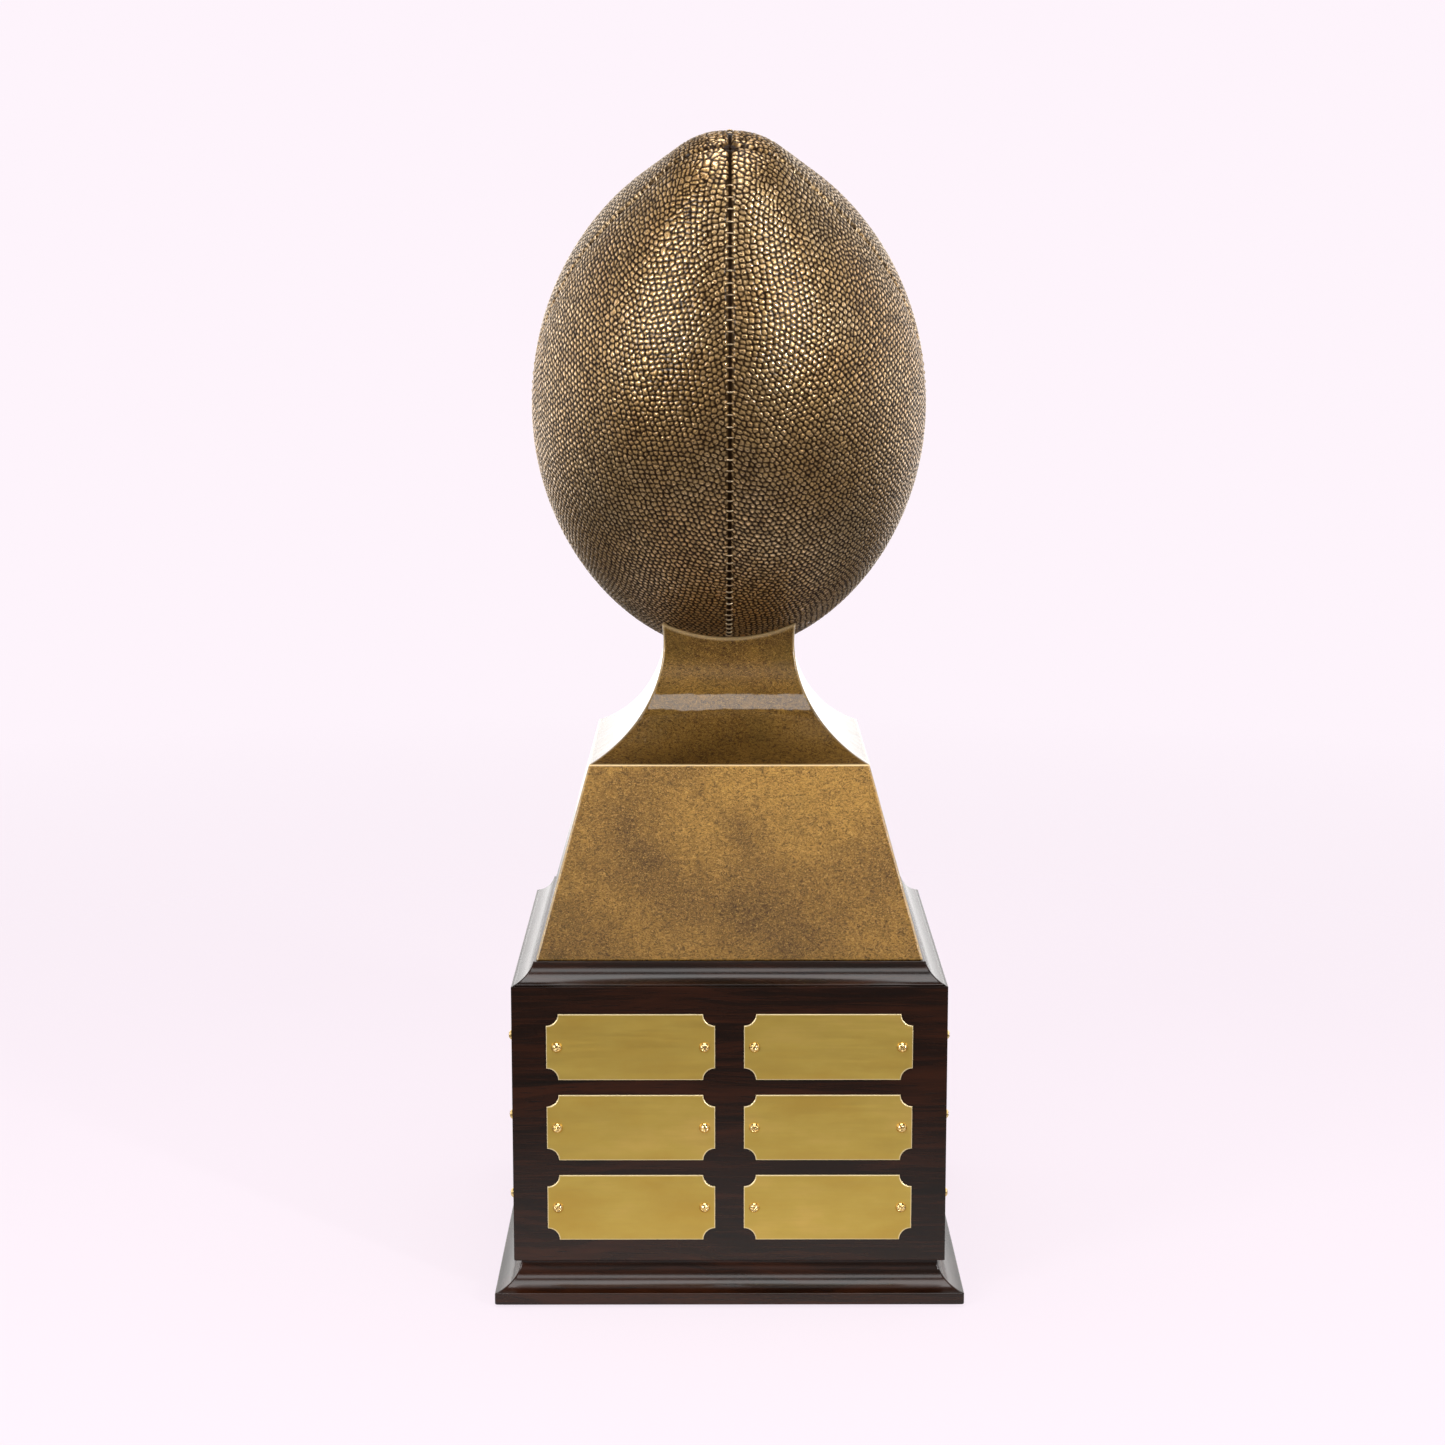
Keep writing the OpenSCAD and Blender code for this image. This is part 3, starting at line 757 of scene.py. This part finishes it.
def pedestal(material):
    """The cast pedestal with rounded arrises; its neck ends on the football's own surface."""
    side_steps, corner_steps = 56, 6
    columns = 4 * (side_steps + corner_steps)
    body = np.stack([np.column_stack([square_ring(half, NECK_CORNER, side_steps, corner_steps),
                                      np.full(columns, z)]) for half, z in pedestal_profile()])

    def along(place):
        """A point on each upright line, at a place counted in rings from the foot."""
        below = np.minimum(place.astype(int), len(body) - 2)
        share = (place - below)[:, None]
        each = np.arange(columns)
        return body[below, each] * (1 - share) + body[below + 1, each] * share

    # Where each upright line of the neck meets the football
    clear = np.stack([ball_distance(ring) > JOINT_GAP for ring in body])
    high = np.where(clear.all(axis=0), len(body) - 1, np.argmin(clear, axis=0)).astype(float)
    low = high - 1
    for _ in range(20):
        middle = (low + high) / 2
        outside = ball_distance(along(middle)) > JOINT_GAP
        low, high = np.where(outside, middle, low), np.where(outside, high, middle)
    whole = int(low.min())
    shares = np.linspace(0, 1, 11)[1:]
    rings = [*body[:whole + 1], *(along(whole + (low - whole) * t) for t in shares)]
    rim = rings[-1]
    # The neck's top turns in under the football, at millimetres in from the rim and off the ball
    for inward, offset in ((0.35, 0.05), (0.9, -0.25), (1.8, -0.8)):
        scale = 1 - inward * MM / np.abs(rim[:, :2]).max(axis=1)
        rings.append(lift_to_ball(rim * scale[:, None], offset * MM))
    inner = rings[-1]
    rings += [lift_to_ball(inner * t, offset * MM) for t in (0.75, 0.5, 0.25)]
    points = np.concatenate(rings)
    faces = grid_faces(len(rings), columns, closed=True)
    top, foot = len(points), len(points) + 1
    points = np.vstack([points, lift_to_ball(np.zeros((1, 3)), offset * MM), [[0, 0, PED_LOW[2]]]])
    last_row = (len(rings) - 1) * columns
    for j in range(columns):
        k = (j + 1) % columns
        faces.append((last_row + j, last_row + k, top))
        faces.append((k, j, foot))
    # Painted shade: the leaf is painted darker on the neck and cove, where the football above
    # shades them, and a little darker towards the foot
    height = points[:, 2] - PED_LOW[2]
    painted_shade_and_foot_dark = np.where(height > RIDGE_H + 0.2 * MM, PAINTED_NECK_SHADE,
                      FOOT_DARKENING * (1 - height / RIDGE_H))
    return add_mesh("pedestal", points, faces, material, ["pedestal_shell"],
                    {"edge": pedestal_edges(points), "painted_shade_and_foot_dark": np.clip(painted_shade_and_foot_dark, 0, 1)})


def pedestal_edges(points):
    """How much the leaf is painted brighter at each point, partly rubbed leaf and partly a painted
    highlight: most on the ridge, a little on the upright arrises and at the joint with the
    football."""
    half = np.abs(points[:, :2]).max(axis=1)
    other = np.abs(points[:, :2]).min(axis=1)
    upright = smoothstep(1.0 * MM, 0.3 * MM, half - other)
    ridge_z = PED_LOW[2] + RIDGE_H
    ridge = smoothstep(0.40 * MM, 0.12 * MM, np.abs(points[:, 2] - ridge_z))
    joint = smoothstep(1.2 * MM, 0.4 * MM, ball_distance(points)) * (points[:, 2] > ridge_z)
    return np.maximum.reduce([0.25 * upright, 0.9 * ridge, 0.3 * joint])


# ---------------------------------------------------------------- box, boards and plates

def board(name, profile, corner, node, material):
    """A moulded board of the given profile, in place of its CAD node."""
    points, faces = square_loft(supported(profile), corner)
    return add_mesh(name, points, faces, material, [node])


def top_board(material):
    """The board under the pedestal: a cove up from a sharp lower edge."""
    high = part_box("top_board")[1]
    half, z0, z1 = high[0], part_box("box_panel_front")[1][2], high[2]
    cove = cove_line((half, z0), (half - TOP_COVE_IN, z1), TOP_COVE_R)
    points = [(half - 9 * MM, z0), *cove, (half - TOP_COVE_IN - 5 * MM, z1)]
    radii = [0, 0.35 * MM] + [0] * (len(cove) - 2) + [0.25 * MM, 0]
    return board("top_board_moulded", fillet(points, radii), 0.6 * MM, "top_board", material)


def bottom_board(material):
    """The foot of the box: an upright edge with a cove above it."""
    low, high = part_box("bottom_board")
    half, z0, z1 = high[0], low[2], high[2]
    cove = cove_line((half, z0 + BASE_EDGE_H), (half - BASE_COVE_IN, z1), BASE_COVE_R)
    points = [(half - 6 * MM, z0), (half, z0), *cove, (half - BASE_COVE_IN - 5 * MM, z1)]
    radii = [0, 0.6 * MM, 0.45 * MM] + [0] * (len(cove) - 2) + [0.2 * MM, 0]
    return board("bottom_board_moulded", fillet(points, radii), 0.7 * MM, "bottom_board", material)


def turned(points, quarter):
    """Points turned about z by a number of quarter turns: front, right, back, left."""
    return spun(np.asarray(points, float), quarter * math.pi / 2)


def spun(points, angle):
    """Points turned about z by an angle."""
    c, s = math.cos(angle), math.sin(angle)
    x, y, z = points.T
    return np.column_stack([c * x - s * y, s * x + c * y, z])


def bevelled(points, faces, width, segments=2, limit=30):
    """The same closed solid with its sharp edges rounded."""
    work = bmesh.new()
    made = [work.verts.new(p) for p in points]
    for face in faces:
        work.faces.new([made[v] for v in face])
    bmesh.ops.recalc_face_normals(work, faces=work.faces)
    sharp = [e for e in work.edges if e.calc_face_angle(0) > math.radians(limit)]
    bmesh.ops.bevel(work, geom=sharp, offset=width, segments=segments, profile=0.5,
                    affect="EDGES", clamp_overlap=True)
    work.verts.index_update()
    points = np.array([v.co for v in work.verts])
    faces = [tuple(v.index for v in f.verts) for f in work.faces]
    work.free()
    return points, faces


def box_panel(quarter, material):
    """One veneered side with mitred ends and softened arrises."""
    name = f"box_panel_{SIDES[quarter]}"
    low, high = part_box("box_panel_front")
    w, i, z0, z1 = high[0], -high[1], low[2], high[2]
    plan = [(-w, -w), (w, -w), (i, -i), (-i, -i)]
    points = [(x, y, z) for z in (z0, z1) for x, y in plan]
    faces = [(3, 2, 1, 0), (4, 5, 6, 7)]
    faces += [(k, (k + 1) % 4, 4 + (k + 1) % 4, 4 + k) for k in range(4)]
    points, faces = bevelled(points, faces, 0.3 * MM)
    return add_mesh(f"{name}_veneered", turned(points, quarter), faces, material, [name],
                    smooth=False)


def plate_outline(w, h, r, steps=10):
    """Rectangle with a quarter circle cut from each corner, anticlockwise, centred on 0."""
    outline = []
    for cx, cy, start in ((w, h, 270), (-w, h, 0), (-w, -h, 90), (w, -h, 180)):
        for k in range(steps + 1):
            a = math.radians(start - 90 * k / steps)
            outline.append((cx + r * math.cos(a), cy + r * math.sin(a)))
    return outline


def engraving_plate(quarter, place, material):
    """A thin plate with a small polished chamfer all round."""
    low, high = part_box(f"plate_front_{PLACES[place]}")
    centre = (low + high) / 2
    w, h = (high[0] - low[0]) / 2, (high[2] - low[2]) / 2
    back, face, chamfer = high[1], low[1], PLATE_CHAMFER
    outer, inner, flat = (np.array(plate_outline(w - inset, h - inset, PLATE_NOTCH_R))
                          for inset in (0, chamfer, 2.2 * chamfer))
    shapes = ((outer, back), (outer, face + 0.6 * chamfer),
              (outer * 0.5 + inner * 0.5, face + 0.2 * chamfer), (inner, face), (flat, face))
    columns = len(outer)
    points = np.concatenate([
        np.column_stack([centre[0] + shape[:, 0], np.full(columns, y), centre[2] + shape[:, 1]])
        for shape, y in shapes])
    faces = grid_faces(len(shapes), columns, closed=True)
    faces.append(tuple((len(shapes) - 1) * columns + j for j in range(columns)))
    faces.append(tuple(range(columns))[::-1])
    # Rows of the chamfer, which plate_brass paints lighter as a painted highlight
    edge = np.repeat([1.0, 1.0, 1.0, 0.8, 0.0], columns)
    name = f"plate_{SIDES[quarter]}_{PLACES[place]}"
    return add_mesh(f"{name}_satin", turned(points, quarter), faces, material, [name],
                    {"edge": edge}, smooth=False)


def screw_head():
    """A round head with a cross recess, on its seat at z = 0, axis +z."""
    rings, around, rim_r = 16, 48, SCREW_HEAD_R
    dome_r = (rim_r ** 2 + SCREW_HEAD_H ** 2) / (2 * SCREW_HEAD_H)
    radii = rim_r * np.linspace(0, 1, rings + 1)[1:] ** 0.85
    turn = 2 * math.pi * np.arange(around) / around
    points = [(0.0, 0.0)] + [(r * math.cos(a), r * math.sin(a)) for r in radii for a in turn]
    points = np.array(points)
    r = np.hypot(*points.T)
    height = np.sqrt(np.maximum(dome_r ** 2 - r ** 2, 0)) - (dome_r - SCREW_HEAD_H)
    # The recess: a cross of two arms, and a well where they meet
    near, far = np.sort(np.abs(points), axis=1).T
    arm = 1 - smoothstep(0.22 * MM, 0.36 * MM, near)
    arm = arm * (1 - smoothstep(0.95 * MM, 1.25 * MM, far))
    well = 1 - smoothstep(0.2 * MM, 0.6 * MM, r)
    height = height - RECESS_DEPTH * np.maximum(arm, well)
    points = np.column_stack([points, np.maximum(height, 0.05 * MM)])
    seat = [(rim_r * math.cos(a), rim_r * math.sin(a), 0.0) for a in turn]
    points = np.vstack([points, seat])
    faces = [(0, 1 + j, 1 + (j + 1) % around) for j in range(around)]
    faces += [(a, d, c, b) for a, b, c, d in grid_faces(rings + 1, around, 1, closed=True)]
    faces.append(tuple(1 + rings * around + j for j in range(around))[::-1])
    return points, faces


def plate_screws(quarter, material):
    """All the screws of one side, each turned to its own angle."""
    draw = np.random.default_rng(71 + quarter)
    head, faces = screw_head()
    parts = []
    for place in PLACES:
        low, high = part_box(f"plate_front_{place}")
        for x in (low[0] + PLATE_SCREW_IN, high[0] - PLATE_SCREW_IN):
            right, up, out = spun(head, draw.uniform(0, math.pi / 2)).T
            middle = (low[2] + high[2]) / 2
            parts.append((np.column_stack([x + right, low[1] - out, middle + up]), faces))
    points, faces = join(parts)
    node = f"plate_screws_{SIDES[quarter]}"
    return add_mesh(f"{node}_turned", turned(points, quarter), faces, material, [node])


# ---------------------------------------------------------------- build

ball_gold, seam_gold, leaf_gold = football_gold(), stitch_gold(), pedestal_gold()
veneer, blocks, brass, screw, steel, felt = (
    dark_veneer(), raw_wood(), plate_brass(), screw_brass(), plated_steel(), green_felt())

panel_shape = panel_frame()
for quarter, where in enumerate(("front_right", "back_right", "back_left", "front_left")):
    football_panel(f"football_panel_{where}", quarter, panel_shape, ball_gold)
for quarter, where in enumerate(("front", "right", "back", "left")):
    football_stitches(f"football_stitches_{where}", quarter * math.pi / 2, seam_gold)
football_laces("football_laces", math.pi, seam_gold)

pedestal(leaf_gold)
top_board(veneer)
bottom_board(veneer)
for quarter in range(4):
    box_panel(quarter, veneer)
    plate_screws(quarter, screw)
    for place in range(len(PLACES)):
        engraving_plate(quarter, place, brass)

# CAD nodes that stay as they are
KEPT = {"football_insert": screw, "tie_rod": steel, "rod_washer": steel, "rod_nut": steel,
        "pedestal_screws": steel, "base_screws": steel, "felt_pad": felt}
for corner in ("front_left", "front_right", "back_right", "back_left"):
    KEPT[f"glue_block_{corner}"] = blocks
for node, material in KEPT.items():
    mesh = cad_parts[node].data
    mesh.materials.clear()
    mesh.materials.append(material)


# ---------------------------------------------------------------- stage, light and camera

BACKDROP = (0.991, 0.905, 0.973)
# Floor colours that only reflections and bounce light see: pale near the object and dark a little
# way off, a painted shade
FLOOR_NEAR, FLOOR_FAR = (0.80, 0.77, 0.78), (0.05, 0.048, 0.05)
FLOOR_LIT = (0.13, 0.119, 0.127)
FLOOR_GLOW = (0.835, 0.750, 0.815)
FLOOR_R = 2.2
LIGHT_AIM = Vector((0, 0, 0.28))
CAMERA_PLACE = (-0.0058, -1.1314, 0.4002)
CAMERA_DOWN, CAMERA_ROLL, CAMERA_LENS = 0.1665, -0.003, 71.86


def floor():
    """A pale floor that fades into the backdrop a little way off. To the camera it glows
    faintly, as a light table does."""
    n = Nodes("pale_floor")
    length = n.add("ShaderNodeVectorMath", operation="LENGTH")
    n.put(n.place, length.inputs[0])
    away = length.outputs["Value"]
    # Painted shade: what reflections see of the floor is pale near the object and dark a little way
    # off
    n.set(Base_Color=n.mix(n.span(away, 0.10, 0.36), FLOOR_NEAR, FLOOR_FAR), Roughness=0.9)
    lit, glow, clear = (n.add(f"ShaderNode{kind}")
                        for kind in ("BsdfDiffuse", "Emission", "BsdfTransparent"))
    lit.inputs["Color"].default_value = (*FLOOR_LIT, 1)
    glow.inputs["Color"].default_value = (*FLOOR_GLOW, 1)
    seen = n.add("ShaderNodeAddShader")
    n.put(lit.outputs[0], seen.inputs[0])
    n.put(glow.outputs[0], seen.inputs[1])
    shown, blend = n.add("ShaderNodeMixShader"), n.add("ShaderNodeMixShader")
    n.put(n.add("ShaderNodeLightPath").outputs["Is Camera Ray"], shown.inputs[0])
    n.put(n.shader.outputs[0], shown.inputs[1])
    n.put(seen.outputs[0], shown.inputs[2])
    n.put(n.span(away, 0.45, 1.3), blend.inputs[0])
    n.put(shown.outputs[0], blend.inputs[1])
    n.put(clear.outputs[0], blend.inputs[2])
    n.put(blend.outputs[0], n.tree.nodes["Material Output"].inputs["Surface"])
    mesh = bpy.data.meshes.new("floor")
    turns = [2 * math.pi * k / 64 for k in range(64)]
    ring = [(FLOOR_R * math.cos(turn), FLOOR_R * math.sin(turn), 0) for turn in turns]
    mesh.from_pydata(ring, [], [tuple(range(len(ring)))])
    mesh.materials.append(n.material)
    piece = bpy.data.objects.new("floor", mesh)
    bpy.context.scene.collection.objects.link(piece)


# Brightness of the room by the height of a direction, from -1 straight down to 1 straight up
ROOM_AROUND = ((-1.0, 0.5), (-0.1, 1.9), (0.35, 1.5), (0.65, 0.25), (1.0, 0.08))
ROOM_IN_FRONT = ((-0.3, 0.12), (0.0, 0.05), (0.12, 0.08), (0.34, 0.60), (0.50, 0.20),
                 (0.62, 0.05), (0.85, 0.05))


def backdrop():
    """A white room that is dimmer in front. The camera sees only a plain pale backdrop."""
    world = bpy.data.worlds.new("studio")
    bpy.context.scene.world = world
    world.use_nodes = True
    tree = world.node_tree
    new, link = tree.nodes.new, tree.links.new
    direction = new("ShaderNodeTexCoord").outputs["Generated"]
    split = new("ShaderNodeSeparateXYZ")
    link(direction, split.inputs[0])

    def by_height(stops):
        """Brightness by the height of a direction."""
        place, band = new("ShaderNodeMapRange"), new("ShaderNodeValToRGB")
        link(split.outputs["Z"], place.inputs[0])
        place.inputs[1].default_value = -1.0
        while len(band.color_ramp.elements) < len(stops):
            band.color_ramp.elements.new(0.5)
        for element, (height, grey) in zip(band.color_ramp.elements, stops):
            element.position = (height + 1) / 2
            element.color = (grey, grey, grey, 1)
        band.color_ramp.interpolation = "EASE"
        link(place.outputs[0], band.inputs[0])
        return band.outputs[0]

    in_front = new("ShaderNodeMapRange")
    in_front.interpolation_type = "SMOOTHSTEP"
    link(split.outputs["Y"], in_front.inputs[0])
    in_front.inputs[1].default_value, in_front.inputs[2].default_value = 0.35, -0.60
    strength = new("ShaderNodeMix")
    link(in_front.outputs[0], strength.inputs[0])
    link(by_height(ROOM_AROUND), strength.inputs[2])
    link(by_height(ROOM_IN_FRONT), strength.inputs[3])
    room, seen = new("ShaderNodeBackground"), new("ShaderNodeBackground")
    room.inputs["Color"].default_value = (1.0, 0.98, 0.97, 1)
    link(strength.outputs[0], room.inputs["Strength"])
    seen.inputs["Color"].default_value = (*BACKDROP, 1)
    mix = new("ShaderNodeMixShader")
    link(new("ShaderNodeLightPath").outputs["Is Camera Ray"], mix.inputs[0])
    link(room.outputs[0], mix.inputs[1])
    link(seen.outputs[0], mix.inputs[2])
    link(mix.outputs[0], tree.nodes["World Output"].inputs["Surface"])


def softbox(name, azimuth, elevation, distance, width, height, power):
    """An area light that faces the object; azimuth 0 is in front, 90 on the right."""
    a, e = math.radians(azimuth), math.radians(elevation)
    away = Vector((math.sin(a) * math.cos(e), -math.cos(a) * math.cos(e), math.sin(e)))
    data = bpy.data.lights.new(name, "AREA")
    data.shape, data.size, data.size_y, data.energy = "RECTANGLE", width, height, power
    light = bpy.data.objects.new(name, data)
    light.location = LIGHT_AIM + distance * away
    light.rotation_euler = (-distance * away).to_track_quat("-Z", "Y").to_euler()
    light.visible_camera = False
    bpy.context.scene.collection.objects.link(light)


def camera():
    """A camera in front, level with the football's upper half and tilted down a little."""
    data = bpy.data.cameras.new("camera")
    data.sensor_width, data.lens = 36, CAMERA_LENS
    view = bpy.data.objects.new("camera", data)
    view.location = CAMERA_PLACE
    view.rotation_euler = (math.pi / 2 - CAMERA_DOWN, 0, CAMERA_ROLL)
    bpy.context.scene.collection.objects.link(view)
    bpy.context.scene.camera = view


floor()
backdrop()
softbox("softbox_left", -42, 8, 1.3, 0.40, 0.55, 9.5)
softbox("softbox_right", 38, 9, 1.3, 0.06, 0.45, 10)
softbox("softbox_band", 0, 45, 1.2, 0.9, 0.30, 3.4)
softbox("softbox_key", 0, 84, 1.1, 0.9, 0.8, 11)
camera()
bpy.context.scene.view_settings.view_transform = "Standard"
